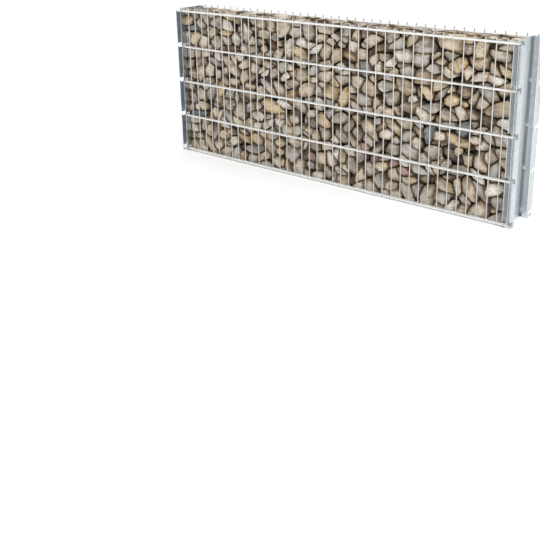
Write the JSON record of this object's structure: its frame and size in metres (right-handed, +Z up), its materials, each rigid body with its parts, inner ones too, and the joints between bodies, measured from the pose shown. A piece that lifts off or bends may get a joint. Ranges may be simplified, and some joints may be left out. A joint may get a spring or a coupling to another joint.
{
  "type": "gabion wall",
  "caption": "Straight stone-filled fence bay: welded wire mats hooked into slotted steel posts at both ends, holding a packed fill of broken quarry stone.",
  "frame": {"origin": "centre of the wall's footprint, on the ground", "axes": "+X along the wall towards the near post, +Y through the wall from its front to its back, +Z up"},
  "size_m": [2.0534, 0.222, 0.83],
  "materials": {
    "quarry_stone": "matte",
    "mat_wire": "satin",
    "post_sheet": "satin",
    "spacer_steel": "satin"
  },
  "bodies": {
    "root": {"stone_fill": "quarry_stone", "front_mat": "mat_wire", "front_mat_inner_rods": "mat_wire", "rear_mat": "mat_wire", "rear_mat_inner_rods": "mat_wire", "far_post_plate": "post_sheet", "far_post_front_angle": "post_sheet", "far_post_rear_channel": "post_sheet", "near_post_plate": "post_sheet", "near_post_front_angle": "post_sheet", "near_post_rear_channel": "post_sheet", "far_post_spacer_1": "spacer_steel", "far_post_spacer_2": "spacer_steel", "far_post_spacer_3": "spacer_steel", "far_post_spacer_4": "spacer_steel", "far_post_spacer_5": "spacer_steel", "near_post_spacer_1": "spacer_steel", "near_post_spacer_2": "spacer_steel", "near_post_spacer_3": "spacer_steel", "near_post_spacer_4": "spacer_steel", "near_post_spacer_5": "spacer_steel"}
  },
  "joints": []
}
